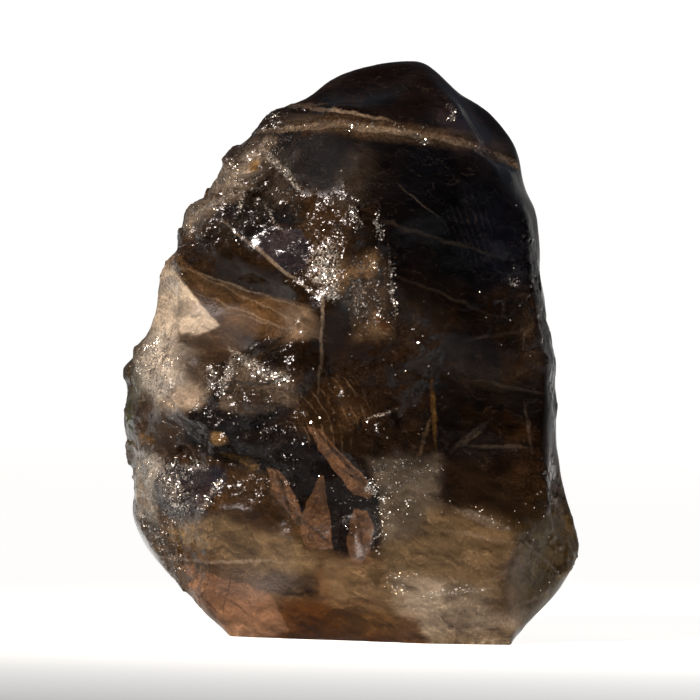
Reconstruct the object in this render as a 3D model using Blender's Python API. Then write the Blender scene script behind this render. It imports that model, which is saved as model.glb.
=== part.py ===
"""A rough, broken piece of smoky quartz that stands on its flat broken base.

The stone is one solid. Its blank is a loft of the stone's front outline, widest at mid
thickness. Flat fractures are cut from it with planes, and shell-shaped fractures with
shallow ball-shaped cutters. Then the broken skin gets its steps, chips and waves.

Metres, +Z up. The front faces -Y, and the stone rests on the plane Z = 0.
"""

import math

import bmesh
import bpy
from mathutils import Matrix, Vector, noise
from mathutils.bvhtree import BVHTree

MM = 0.001

# Driving sizes, in millimetres
HEIGHT = 60.0
WIDTH = 48.5
FOOT_ALLOWANCE = 14.0
SKIN_GRID = 0.42
MOST_TRIANGLES = 9400

# Waves of the skin, as their length and height, and chips, as their size and how far they lean
WAVES = [(10.0, 0.40), (4.2, 0.16)]
CHIPS = [(5.0, 0.46), (2.3, 0.34)]
CHIPPED_WHERE_GLASSY = 0.08

# The chips are long along this slant of the stone
CHIP_GRAIN = Matrix(((0.8, 0.0, 0.3), (0.0, 1.0, 0.0), (-0.35, 0.0, 1.25)))

# Ripples of a shell fracture, as shares of its rim's radius
RIPPLE_LENGTH = 0.36
RIPPLE_HEIGHT = 0.010

# A splinter's roller, as shares of its width and length, and its turn about its own length
ROLLER_WIDTH = 0.9
ROLLER_LENGTH = 0.56
ROLLER_HEIGHT = 1.2
ROLLER_TURN = 0.35

# The front outline in millimetres, from the right foot, upwards and round. It runs straight
# down past the base, because fractures take the foot's corners off and the base is cut last.
OUTLINE = [
    (24.2, -FOOT_ALLOWANCE), (24.3, 10.4), (23.8, 13.7),
    (22.5, 16.8), (21.6, 20.5), (21.0, 29.2), (19.4, 37.4), (18.6, 45.3), (17.3, 47.4),
    (16.2, 52.2), (13.5, 55.3), (11.6, 56.3), (10.6, 56.4), (6.9, 59.6), (5.6, 60.0),
    (0.9, 59.6), (-3.6, 57.8), (-5.9, 56.0), (-8.6, 54.6), (-9.8, 52.8), (-11.7, 51.4),
    (-13.3, 50.3), (-14.3, 48.7), (-14.7, 47.0), (-16.2, 46.1), (-17.7, 43.1), (-19.2, 41.0),
    (-19.7, 39.4), (-20.8, 36.6), (-21.0, 34.0), (-21.5, 31.4), (-22.5, 30.2), (-24.0, 27.5),
    (-24.3, 24.2), (-23.4, 20.6), (-22.8, 16.2), (-22.7, 13.5), (-22.4, -FOOT_ALLOWANCE),
]

# Sections of the blank from front to back: place along Y, and how much of the outline is left
SECTIONS = [
    (-18.5, 0.34), (-16.5, 0.58), (-12.5, 0.80), (-6.5, 0.945), (-1.5, 0.995), (0.0, 1.0),
    (1.5, 0.995), (6.5, 0.95), (12.0, 0.82), (15.5, 0.62), (17.5, 0.36),
]
LOFT_CENTRE = (0.5, 24.0)

# Flat fractures: a name, a point on the plane, and the way the broken face looks
FLAT_FRACTURES = [
    ("right front face", (9.0, -13.0, 34.0), (0.36, -0.92, 0.10)),
    ("left front face", (-12.0, -11.2, 38.0), (-0.44, -0.87, 0.20)),
    ("top cap", (3.0, -8.0, 54.5), (0.08, -0.74, 0.68)),
    ("low left front", (-10.0, -14.2, 8.0), (-0.24, -0.97, -0.06)),
    ("low right front", (13.0, -13.6, 7.0), (0.30, -0.95, -0.02)),
    ("left side", (-23.8, -1.0, 22.0), (-0.90, -0.42, 0.06)),
    ("left side, back", (-23.2, 2.5, 20.0), (-0.84, 0.54, -0.04)),
    ("right side low", (23.6, 2.0, 12.0), (0.84, 0.54, -0.05)),
    ("right side high", (19.2, 2.0, 42.0), (0.82, 0.56, 0.10)),
    ("back face", (1.0, 13.8, 30.0), (0.06, 0.99, 0.10)),
    ("back left", (-13.0, 10.4, 26.0), (-0.60, 0.80, 0.02)),
    ("back top", (0.0, 8.8, 51.0), (-0.16, 0.68, 0.71)),
    ("back foot", (2.0, 13.4, 6.0), (0.10, 0.98, -0.14)),
    ("right foot, upper", (23.5, 0.0, 7.6), (0.84, -0.10, -0.53)),
    ("right foot, lower", (18.6, 0.0, 2.0), (0.64, 0.06, -0.77)),
    ("left foot, upper", (-20.6, 0.0, 8.1), (-0.83, -0.08, -0.55)),
    ("left foot, lower", (-14.6, 0.0, 2.9), (-0.60, 0.05, -0.80)),
    ("front foot", (-4.0, -14.6, 0.8), (-0.05, -0.90, -0.44)),
    ("upper left shoulder", (-14.4, 3.0, 48.8), (-0.70, 0.36, 0.62)),
]

# Shell fractures: a name, the X and Z that the blow aims at on the mid plane, the way the
# scar looks, the ball's radius, the depth of the bite, and how much it is stretched upright
SHELL_FRACTURES = [
    ("large right scar", (12.4, 33.0), (0.34, -0.94, 0.04), 46.0, 2.6, 1.3),
    ("scar above the lip", (12.0, 23.0), (0.24, -0.96, 0.16), 24.0, 1.5, 0.7),
    ("scar under the crack", (7.0, 46.5), (0.22, -0.95, 0.22), 24.0, 1.1, 0.8),
    ("knee at the top right", (14.0, 53.6), (0.62, -0.60, 0.50), 12.0, 1.0, 1.0),
    ("cap scar", (0.0, 56.4), (-0.10, -0.75, 0.65), 20.0, 0.8, 0.7),
    ("cap left scar", (-6.0, 55.0), (-0.42, -0.66, 0.62), 11.0, 0.9, 0.8),
    ("clear left scar", (-14.2, 33.4), (-0.46, -0.87, 0.16), 20.0, 1.9, 0.7),
    ("wedge above it", (-10.4, 38.4), (-0.30, -0.90, -0.30), 12.0, 1.2, 0.55),
    ("pale chip at the left edge", (-18.8, 32.4), (-0.74, -0.66, 0.10), 9.0, 0.8, 1.2),
    ("narrow face right of the ridge", (-1.4, 31.0), (0.40, -0.91, -0.02), 12.0, 0.6, 1.7),
    ("rusty pocket", (2.0, 33.6), (0.10, -0.98, -0.06), 6.0, 0.5, 1.1),
    ("dark hollow", (-10.6, 20.2), (-0.16, -0.95, -0.24), 11.0, 2.0, 0.6),
    ("dark hollow, right end", (-3.2, 17.6), (0.05, -0.97, -0.22), 9.0, 1.4, 0.7),
    ("dark hollow, left end", (-17.4, 19.6), (-0.46, -0.86, -0.18), 8.0, 0.9, 0.7),
    ("sparkling brow", (-10.4, 26.0), (-0.20, -0.90, 0.36), 10.0, 0.8, 0.5),
    ("side knob", (-22.0, 24.2), (-0.88, -0.46, 0.10), 10.0, 0.7, 1.3),
    ("bluish nub", (-15.8, 14.4), (-0.34, -0.90, 0.24), 7.0, 0.5, 0.8),
    ("clear foot scar", (-9.4, 6.4), (-0.20, -0.97, 0.06), 26.0, 1.1, 0.7),
    ("left foot corner", (-17.0, 8.6), (-0.62, -0.77, -0.10), 16.0, 0.5, 0.9),
    ("right foot corner", (18.6, 7.6), (0.60, -0.79, -0.08), 17.0, 0.5, 0.9),
    ("right hip", (22.0, 14.0), (0.82, -0.54, 0.18), 13.0, 0.8, 1.2),
    ("middle scar", (2.6, 25.6), (-0.02, -0.99, 0.06), 13.0, 0.8, 0.9),
    ("upper left bite", (-9.6, 47.6), (-0.34, -0.84, 0.42), 8.5, 1.0, 0.7),
    ("step under it", (-13.8, 44.6), (-0.52, -0.78, 0.34), 5.5, 0.8, 0.6),
    ("second step", (-8.4, 43.2), (-0.28, -0.93, 0.22), 5.0, 0.8, 0.7),
    ("third step", (-15.8, 40.6), (-0.60, -0.76, 0.22), 5.0, 0.7, 0.6),
    ("hollow by the ridge", (-6.4, 40.6), (-0.18, -0.97, 0.10), 5.0, 0.8, 0.8),
    ("dent on the ridge", (-0.6, 46.0), (0.10, -0.97, 0.18), 7.0, 0.7, 0.9),
    ("large back scar", (-3.0, 33.0), (-0.08, 0.99, 0.08), 40.0, 2.4, 1.2),
    ("back right scar", (13.0, 30.0), (0.58, 0.80, 0.06), 24.0, 1.9, 1.4),
    ("back shell", (5.0, 16.0), (0.16, 0.97, -0.06), 22.0, 1.8, 0.9),
    ("back left shell", (-15.0, 19.0), (-0.64, 0.76, 0.02), 16.0, 1.3, 1.1),
    ("back shoulder", (8.0, 49.0), (0.40, 0.72, 0.54), 16.0, 1.5, 0.8),
    ("back crown", (-5.0, 52.0), (-0.44, 0.60, 0.66), 12.0, 1.2, 0.9),
    ("back left slope", (-15.0, 37.0), (-0.78, 0.60, 0.20), 13.0, 1.3, 1.1),
    ("back chip, low", (-7.0, 7.0), (-0.24, 0.95, -0.20), 9.0, 1.1, 0.8),
    ("back chip, right", (16.5, 14.0), (0.66, 0.74, 0.04), 11.0, 0.9, 1.0),
    ("back chip, middle", (-2.0, 25.0), (-0.10, 0.98, 0.16), 8.0, 1.0, 0.7),
    ("left edge bite", (-19.6, 38.6), (-0.90, 0.10, 0.42), 5.0, 0.5, 1.0),
]

# Long splinter fractures: a name, the lower and the upper end on the front, width and depth
SPLINTERS = [
    ("long splinter", (3.4, 12.6), (-5.2, 21.6), 2.2, 0.9),
    ("second splinter", (-0.6, 8.6), (-5.6, 17.4), 2.4, 0.9),
    ("third splinter", (-3.8, 8.8), (-8.8, 15.2), 2.0, 0.8),
    ("short splinter", (2.2, 8.0), (-1.4, 13.6), 1.8, 0.7),
]

# Where the break is hackly: a name, the patch's centre and reach in millimetres, and its share
HACKLY_PATCHES = [
    ("upper left", (-14.0, -5.0, 46.0), 16.0, 1.0),
    ("along the ridge", (-4.0, -14.0, 40.0), 8.0, 0.8),
    ("left edge", (-23.0, -4.0, 22.0), 12.0, 1.0),
    ("bluish nub", (-17.0, -12.0, 15.5), 7.0, 1.0),
    ("sparkling brow", (-10.0, -14.0, 26.5), 8.0, 1.0),
    ("dark hollow", (-10.0, -13.0, 20.0), 9.0, 0.6),
    ("centre", (3.0, -14.0, 26.0), 10.0, 0.6),
    ("splinters", (-2.0, -14.0, 15.0), 8.0, 0.5),
    ("left back", (-12.0, 9.0, 42.0), 17.0, 1.0),
    ("right back foot", (12.0, 11.0, 10.0), 13.0, 0.8),
    ("right edge", (21.0, 0.0, 30.0), 9.0, 0.5),
]

# Where it is glassy whatever lies round it
GLASSY_PATCHES = [
    ("clear left scar", (-14.5, -9.0, 33.4), 8.0),
    ("narrow face right of the ridge", (-1.4, -14.0, 31.0), 4.0),
    ("clear foot", (-9.0, -14.0, 5.5), 9.0),
]

# The open crack across the top: the front's height at the ridge, and the crack plane's tilt
CRACK_POINT = (0.0, -8.0, 52.6)
CRACK_NORMAL = (0.10, 0.16, 0.98)
CRACK_STEP = 0.55

SMOKE_COLOUR = (0.060, 0.036, 0.022, 1.0)
SMOKE_ROUGHNESS = 0.12
QUARTZ_IOR = 1.544
SMOKE_ABSORBED = (0.55, 0.36, 0.22, 1.0)
SMOKE_DENSITY = 90.0


def clear_scene():
    for old in list(bpy.data.objects):
        bpy.data.objects.remove(old)


def point(x, y, z):
    return Vector((x, y, z)) * MM


def new_object(name, bm):
    mesh = bpy.data.meshes.new(name)
    bm.to_mesh(mesh)
    bm.free()
    made = bpy.data.objects.new(name, mesh)
    bpy.context.scene.collection.objects.link(made)
    return made


def bake_modifiers(target):
    """The object's evaluated mesh becomes its own, and its modifiers go."""
    graph = bpy.context.evaluated_depsgraph_get()
    mesh = bpy.data.meshes.new_from_object(target.evaluated_get(graph))
    old = target.data
    target.modifiers.clear()
    target.data = mesh
    bpy.data.meshes.remove(old)


def outline_ring(bm, depth, share):
    """One section of the blank: the outline, drawn in towards the loft's centre line."""
    middle_x, middle_z = LOFT_CENTRE
    ring = []
    for x, z in OUTLINE:
        ring.append(
            bm.verts.new(
                point(
                    middle_x + (x - middle_x) * share,
                    depth,
                    middle_z + (z - middle_z) * share,
                )
            )
        )
    pairs = zip(ring, ring[1:] + ring[:1])
    return ring, [bm.edges.new(pair) for pair in pairs]


def lofted_blank():
    bm = bmesh.new()
    rings = [outline_ring(bm, depth, share) for depth, share in SECTIONS]
    for (_, nearer), (_, farther) in zip(rings, rings[1:]):
        bmesh.ops.bridge_loops(bm, edges=nearer + farther)
    bm.faces.new(rings[0][0])
    bm.faces.new(rings[-1][0])
    bmesh.ops.recalc_face_normals(bm, faces=bm.faces)
    return bm


def cut_flat(bm, at, facing):
    """Breaks off what lies past a plane, and closes the broken face."""
    cut = bmesh.ops.bisect_plane(
        bm,
        geom=bm.verts[:] + bm.edges[:] + bm.faces[:],
        dist=1e-7,
        plane_co=point(*at),
        plane_no=Vector(facing).normalized(),
        clear_outer=True,
    )
    rim = [e for e in cut["geom_cut"] if isinstance(e, bmesh.types.BMEdge)]
    bmesh.ops.holes_fill(bm, edges=rim)


def apply_boolean(target, cutter, operation="DIFFERENCE"):
    cutter.hide_render = True
    cutter.display_type = "WIRE"
    step = target.modifiers.new("cut", "BOOLEAN")
    step.object = cutter
    step.operation = operation
    bake_modifiers(target)
    bpy.data.objects.remove(cutter)


def surface_at(stone, through, facing):
    """The point where a line through the stone comes out on its facing side."""
    bm = bmesh.new()
    bm.from_mesh(stone.data)
    tree = BVHTree.FromBMesh(bm)
    bm.free()
    start = through + facing * 0.08
    found = tree.ray_cast(start, -facing)[0]
    return found if found is not None else through


def turned_to(facing, upright=Vector((0, 0, 1))):
    """A turn that takes +Z to the facing direction, and +Y as near to upright as it can."""
    side = upright.cross(facing).normalized()
    up = facing.cross(side).normalized()
    return Matrix((side, up, facing)).transposed().to_4x4()


def break_shell(stone, name, aim, facing, radius, depth, upright_stretch):
    """A conchoidal scar: the shallow bite of a large ball, with faint ripples round the blow."""
    way = Vector(facing).normalized()
    at = surface_at(stone, point(aim[0], 0.0, aim[1]), way)
    bm = bmesh.new()
    bmesh.ops.create_icosphere(bm, subdivisions=5, radius=radius * MM)
    centre = at + way * (radius - depth) * MM
    rim = math.sqrt(2 * radius * depth)
    blow = Vector((0.0, rim * 0.9, -radius)) * MM
    for v in bm.verts:
        away = (v.co - blow).length / MM
        lift = RIPPLE_HEIGHT * rim * math.sin(away * math.tau / (RIPPLE_LENGTH * rim))
        v.co += v.co.normalized() * (lift * MM)
    stretched = Matrix.Diagonal((1.0, upright_stretch, 1.0, 1.0))
    placed = Matrix.Translation(centre) @ turned_to(way) @ stretched
    bmesh.ops.transform(bm, matrix=placed, verts=bm.verts)
    apply_boolean(stone, new_object(name, bm))


def break_splinter(stone, name, low, high, width, depth):
    """A long sliver that has sprung off the front: the bite of a narrow, pointed roller."""
    front = Vector((0.0, -1.0, 0.0))
    ends = [surface_at(stone, point(x, 0.0, z), front) for x, z in (low, high)]
    along = (ends[1] - ends[0]).normalized()
    length = (ends[1] - ends[0]).length / MM
    bm = bmesh.new()
    bmesh.ops.create_icosphere(bm, subdivisions=4, radius=MM)
    side = along.cross(front).normalized()
    outward = side.cross(along).normalized()
    if outward.dot(front) < 0:
        outward = -outward
    turn = Matrix((side, along, outward)).transposed().to_4x4()
    height = width * ROLLER_HEIGHT
    sized = Matrix.Diagonal((width * ROLLER_WIDTH, length * ROLLER_LENGTH, height, 1.0))
    middle = (ends[0] + ends[1]) / 2 + outward * (height - depth) * MM
    tilted = Matrix.Rotation(ROLLER_TURN, 4, "Y")
    placed = Matrix.Translation(middle) @ turn @ tilted @ sized
    bmesh.ops.transform(bm, matrix=placed, verts=bm.verts)
    apply_boolean(stone, new_object(name, bm))


def even_skin(stone):
    """One skin of small, even faces over all the fractures."""
    step = stone.modifiers.new("even skin", "REMESH")
    step.mode = "VOXEL"
    step.voxel_size = SKIN_GRID * MM
    bake_modifiers(stone)


def smooth_share(value, low, high):
    t = min(max((value - low) / (high - low), 0.0), 1.0)
    return t * t * (3 - 2 * t)


def near(place, centre, reach):
    """1 at the centre of a patch of the skin, and 0 past its reach."""
    return 1.0 - smooth_share((place - Vector(centre)).length / reach, 0.55, 1.0)


def hackle(place):
    """How hackly the break is at a place in millimetres: 0 is glassy, 1 is stepped and chipped."""
    rough = max(near(place, centre, reach) * share for _, centre, reach, share in HACKLY_PATCHES)
    glassy = max(near(place, centre, reach) for _, centre, reach in GLASSY_PATCHES)
    return rough * (1.0 - 0.85 * glassy)


def chips(place, size):
    """Broken cells, each of them a small plane that leans its own way: height in millimetres."""
    spot = CHIP_GRAIN @ place / size + noise.noise_vector(place / (size * 2.2)) * 0.22
    centre = noise.voronoi(spot)[1][0]
    lean = noise.cell_vector(centre * 37.0) - Vector((0.5, 0.5, 0.5))
    return (spot - centre).dot(lean) * size


def break_skin(stone):
    """Moves each point of the skin along its normal: waves everywhere, chips where it is hackly."""
    bm = bmesh.new()
    bm.from_mesh(stone.data)
    bm.normal_update()
    moves = []
    for v in bm.verts:
        place = v.co / MM
        rough = hackle(place)
        waves = sum(noise.noise(place / length) * height for length, height in WAVES)
        broken = sum(chips(place, size) * lean for size, lean in CHIPS)
        share = CHIPPED_WHERE_GLASSY + (1.0 - CHIPPED_WHERE_GLASSY) * rough
        moves.append(v.normal * (waves + broken * share) * MM)
    for v, move in zip(bm.verts, moves):
        v.co += move
    bm.to_mesh(stone.data)
    bm.free()


def open_crack(stone):
    """Across the front, the skin under the crack lies a little deeper than the cap above it."""
    normal = Vector(CRACK_NORMAL).normalized()
    through = Vector(CRACK_POINT)
    bm = bmesh.new()
    bm.from_mesh(stone.data)
    bm.normal_update()
    for v in bm.verts:
        place = v.co / MM
        side = (place - through).dot(normal) + noise.noise(place / 6.0) * 1.1
        if side < 0.0:
            fade = 1.0 - smooth_share(-side, 1.0, 7.0)
            front = smooth_share(-place.y, -4.0, 4.0)
            uneven = 0.75 + 0.8 * noise.noise(place / 4.0)
            v.co -= v.normal * (CRACK_STEP * fade * front * uneven * MM)
    bm.to_mesh(stone.data)
    bm.free()


def thin_out(stone):
    """Fewer faces where the skin is flat, down to the number that the solid may have."""
    stone.data.calc_loop_triangles()
    step = stone.modifiers.new("fewer faces", "DECIMATE")
    step.ratio = MOST_TRIANGLES / len(stone.data.loop_triangles)
    bake_modifiers(stone)


def cut_base(stone):
    """The flat break that the stone stands on."""
    bm = bmesh.new()
    bmesh.ops.create_cube(bm, size=0.2)
    bmesh.ops.translate(bm, vec=(0.0, 0.0, -0.1), verts=bm.verts)
    apply_boolean(stone, new_object("ground", bm))


def centre_over_origin(stone):
    """Puts the middle of the stone's box over the origin, and sets the exact width and height."""
    xs, ys, zs = zip(*(v.co for v in stone.data.vertices))
    shift = Vector((-(min(xs) + max(xs)) / 2, -(min(ys) + max(ys)) / 2, 0.0))
    sized = Matrix.Diagonal((WIDTH * MM / (max(xs) - min(xs)), 1.0, HEIGHT * MM / max(zs), 1.0))
    stone.data.transform(sized @ Matrix.Translation(shift))


def smoky_quartz():
    material = bpy.data.materials.new("smoky_quartz")
    material.use_nodes = True
    nodes = material.node_tree.nodes
    skin = nodes["Principled BSDF"]
    skin.inputs["Base Color"].default_value = SMOKE_COLOUR
    skin.inputs["Roughness"].default_value = SMOKE_ROUGHNESS
    skin.inputs["Metallic"].default_value = 0.0
    skin.inputs["IOR"].default_value = QUARTZ_IOR
    skin.inputs["Transmission Weight"].default_value = 1.0
    inside = nodes.new("ShaderNodeVolumeAbsorption")
    inside.inputs["Color"].default_value = SMOKE_ABSORBED
    inside.inputs["Density"].default_value = SMOKE_DENSITY
    out = nodes["Material Output"]
    material.node_tree.links.new(inside.outputs["Volume"], out.inputs["Volume"])
    return material


def build_crystal():
    blank = lofted_blank()
    for _, at, facing in FLAT_FRACTURES:
        cut_flat(blank, at, facing)
    bmesh.ops.recalc_face_normals(blank, faces=blank.faces)
    stone = new_object("smoky_quartz_crystal", blank)
    for scar in SHELL_FRACTURES:
        break_shell(stone, *scar)
    for sliver in SPLINTERS:
        break_splinter(stone, *sliver)
    even_skin(stone)
    break_skin(stone)
    open_crack(stone)
    thin_out(stone)
    cut_base(stone)
    centre_over_origin(stone)
    stone.data.materials.clear()
    stone.data.materials.append(smoky_quartz())
    return stone


clear_scene()
build_crystal()
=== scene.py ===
"""Dresses the rough smoky quartz crystal and sets its stage.

The file is laid out as an add-on and is run as a script. The stone stands on Z = 0, with its
front towards -Y. MM is one millimetre of the stone at its packed size, so that patterns and
chips keep their places on it at any size.
"""

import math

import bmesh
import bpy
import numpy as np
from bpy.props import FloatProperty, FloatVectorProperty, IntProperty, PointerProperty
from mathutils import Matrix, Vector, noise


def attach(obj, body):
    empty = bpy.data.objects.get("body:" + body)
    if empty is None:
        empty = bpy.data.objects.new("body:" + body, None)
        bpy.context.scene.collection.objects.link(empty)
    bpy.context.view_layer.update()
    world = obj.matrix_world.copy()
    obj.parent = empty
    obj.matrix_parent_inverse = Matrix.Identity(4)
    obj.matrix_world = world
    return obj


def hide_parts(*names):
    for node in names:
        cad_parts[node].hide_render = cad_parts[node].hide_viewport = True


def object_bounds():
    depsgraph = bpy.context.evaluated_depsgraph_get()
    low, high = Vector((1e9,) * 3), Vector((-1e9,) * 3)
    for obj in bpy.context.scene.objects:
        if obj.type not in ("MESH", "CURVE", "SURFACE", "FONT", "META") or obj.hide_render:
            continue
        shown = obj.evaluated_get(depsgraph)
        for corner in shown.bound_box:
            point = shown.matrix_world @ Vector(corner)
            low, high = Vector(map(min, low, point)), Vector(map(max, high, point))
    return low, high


bl_info = {
    "name": "Smoky Quartz Crystal",
    "version": (1, 0, 0),
    "blender": (4, 5, 0),
    "location": "3D View > Sidebar > Quartz",
    "description": "Dresses a rough smoky quartz crystal and sets its stage",
    "category": "Object",
}

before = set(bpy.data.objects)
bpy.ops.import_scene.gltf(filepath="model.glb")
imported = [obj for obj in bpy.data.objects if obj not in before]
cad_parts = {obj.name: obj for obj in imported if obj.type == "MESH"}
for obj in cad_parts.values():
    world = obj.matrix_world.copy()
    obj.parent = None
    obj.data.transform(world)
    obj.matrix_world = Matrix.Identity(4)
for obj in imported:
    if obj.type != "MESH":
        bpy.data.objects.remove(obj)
CAD_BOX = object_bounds()

SOLID = "smoky_quartz_crystal"
STONE_HEIGHT_MM = 60.0
MM = (CAD_BOX[1].z - CAD_BOX[0].z) / STONE_HEIGHT_MM

# Sizes of the patterns in the stone and of the chips on its skin, in MM
INNER_CELLS = 3.0
BIG_CHIPS = 2.9
HAIRS = 2.4
SWAY = 2.2
WISPS = 1.7
SMALL_CHIPS = 1.25
STREAKS = 1.2
PLANES = 1.1
GRAIN = 0.30
CRUMB_GAPS = 0.22
FLAKE = 0.15
SPARKLE_SPECKS = 0.13

# The front is what lies before the second depth, and it fades out towards the first, in MM
FRONT_FADE = (3.0, -4.0)

# Below the first share of hackles the skin is polished, past the second share of wear it is worn
POLISHED_BELOW = 0.45
WORN_PAST = 0.3

# Where the floor turns dark, in front of the stone and aside of it, in floor radii
DARK_IN_FRONT = (-0.015, -0.22)
DARK_ASIDE = (0.115, 0.32)

# Lamps: places and sizes in metres, the width of their light, its colour and what it is aimed at
KEY_PLACE = (-0.46, -0.60, 0.52)
KEY_SIZE = 0.07
RIM_PLACE = (-0.72, 0.12, 0.26)
RIM_SIZE = 0.12
LAMP_SPREAD = math.radians(8)
WARM = (1.0, 0.88, 0.74)
LAMP_AIM = (0.0, 0.0, 0.03)

# The width of the photo's frame at the stone, and the place at its middle, in MM
FRAME_WIDTH = 72.8
FRAME_MIDDLE = (-0.32, 0.0, 29.56)

# Where the break is hackly: a name, the patch's centre and reach in MM, and its share
HACKLY_PATCHES = [
    ("upper left", (-14.0, -5.0, 46.0), 16.0, 1.0),
    ("along the ridge", (-3.0, -14.0, 41.0), 8.5, 0.8),
    ("left edge", (-23.0, -4.0, 22.0), 12.0, 0.6),
    ("bluish nub", (-17.0, -12.0, 15.5), 7.0, 1.0),
    ("sparkling brow", (-10.0, -14.0, 26.5), 8.0, 0.9),
    ("dark hollow", (-10.0, -13.0, 20.0), 9.0, 1.0),
    ("centre", (4.0, -14.0, 27.0), 10.0, 0.8),
    ("splinters", (-2.0, -14.0, 15.0), 8.0, 0.5),
    ("left back", (-12.0, 9.0, 42.0), 17.0, 1.0),
    ("right back foot", (12.0, 11.0, 10.0), 13.0, 0.8),
    ("right edge", (21.0, 0.0, 30.0), 9.0, 0.35),
    ("left foot edge", (-19.0, -8.0, 8.0), 9.0, 1.0),
    ("right edge, front", (22.0, -10.0, 36.0), 12.0, 0.7),
    ("right hip edge", (24.0, -6.0, 12.0), 10.0, 0.7),
]

# Where it is glassy whatever lies round it
GLASSY_PATCHES = [
    ("clear left scar", (-14.5, -9.0, 33.4), 7.5),
    ("narrow face right of the ridge", (-1.4, -14.0, 31.0), 4.0),
    ("clear foot", (-8.0, -14.0, 5.0), 8.0),
    ("dark wedge", (-12.0, -12.0, 38.0), 5.5),
]

# Where the edges are worn round: a name, the patch's centre and reach in MM
WORN_PATCHES = [
    ("right foot", (17.0, -12.0, 9.0), 9.0),
    ("left foot", (-15.5, -12.0, 6.0), 8.0),
    ("left rim", (-23.5, -4.0, 22.0), 8.0),
]

# Where the skin is satin or frosted: a name, the patch's centre and reach in MM, its roughness
SATIN_PATCHES = [
    ("clear left scar", (-18.0, -10.0, 32.6), 7.0, 0.45),
    ("bend of the clear scar", (-13.2, -11.0, 31.6), 5.0, 0.62),
    ("dimple in the hackly flank", (-3.9, -12.0, 49.2), 5.0, 0.82),
    ("left foot", (-13.0, -13.0, 5.0), 12.0, 0.48),
    ("milky bulge", (12.0, -14.0, 8.0), 15.0, 0.34),
    ("frosted top", (6.0, -15.0, 14.5), 8.0, 0.46),
    ("knob", (-20.0, -8.0, 27.0), 7.0, 0.30),
    ("right hip", (22.0, -7.0, 7.0), 10.0, 0.52),
    ("splinters", (0.5, -15.0, 12.0), 6.5, 0.36),
]

# Ripples of shell fractures: a name, the blow's place, the ring's inner and outer radius, and
# the length and height of a ripple, in MM
RIPPLES = [
    ("right face", (24.0, -6.0, 58.0), 12.0, 36.0, 3.6, 0.018),
    ("above the lip", (2.0, -15.0, 34.0), 8.0, 20.0, 2.3, 0.020),
    ("milky bulge", (12.0, -14.0, -3.0), 5.0, 18.0, 3.0, 0.022),
    ("cap", (-2.0, -4.0, 64.0), 3.0, 12.0, 1.9, 0.018),
    ("back", (8.0, 14.0, 52.0), 6.0, 40.0, 3.8, 0.050),
    ("clear left scar", (-22.0, -6.0, 40.0), 4.0, 16.0, 2.0, 0.018),
]

# Open cracks across the front: a name, the line as X and Z, its half width in MM, and its share
# of the crack depth
CRACKS = [
    ("open crack", [(-10.0, 52.2), (-3.0, 52.9), (4.0, 52.4), (10.0, 51.3), (17.5, 49.3)], 0.45, 1.0),
    ("upper crack", [(-9.0, 54.7), (-4.0, 54.5), (1.8, 53.6)], 0.30, 0.6),
    ("lip", [(2.0, 16.6), (5.4, 18.4), (9.0, 18.2)], 0.40, 0.6),
    ("step on the right face", [(10.6, 19.6), (13.0, 21.6), (14.6, 22.4)], 0.35, 0.4),
]

# Where the smoke is thin: a name, the clearing's centre and reach in MM, its colour and share
CLEARINGS = [
    ("left side", (-19.0, -4.0, 32.0), 11.0, "amber", 0.8),
    ("pale left side", (-21.0, -3.0, 33.6), 5.5, "pale_tan", 0.85),
    ("left knob", (-21.0, -6.0, 27.0), 7.0, "pale_veil", 0.6),
    ("foot", (-6.0, -4.0, 3.0), 19.0, "amber", 0.9),
    ("foot, right", (13.0, -2.0, 5.0), 15.0, "amber", 0.85),
    ("right hip", (22.0, -2.0, 8.0), 11.0, "olive", 0.9),
    ("left rim", (-24.0, -3.0, 24.0), 6.5, "black_smoke_and_shadow", 0.85),
    ("green in the left rim", (-24.0, -4.0, 25.0), 4.0, "green_smoke", 0.7),
    ("left lower edge", (-21.0, 0.0, 14.0), 8.0, "grey_smoke", 0.6),
    ("upper left rim", (-13.0, -2.0, 47.0), 7.0, "grey_smoke", 0.35),
    ("middle of the back", (2.0, 15.0, 30.0), 12.0, "brown_smoke", 0.8),
    ("upper back", (-6.0, 12.0, 46.0), 8.0, "amber", 0.4),
]

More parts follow.
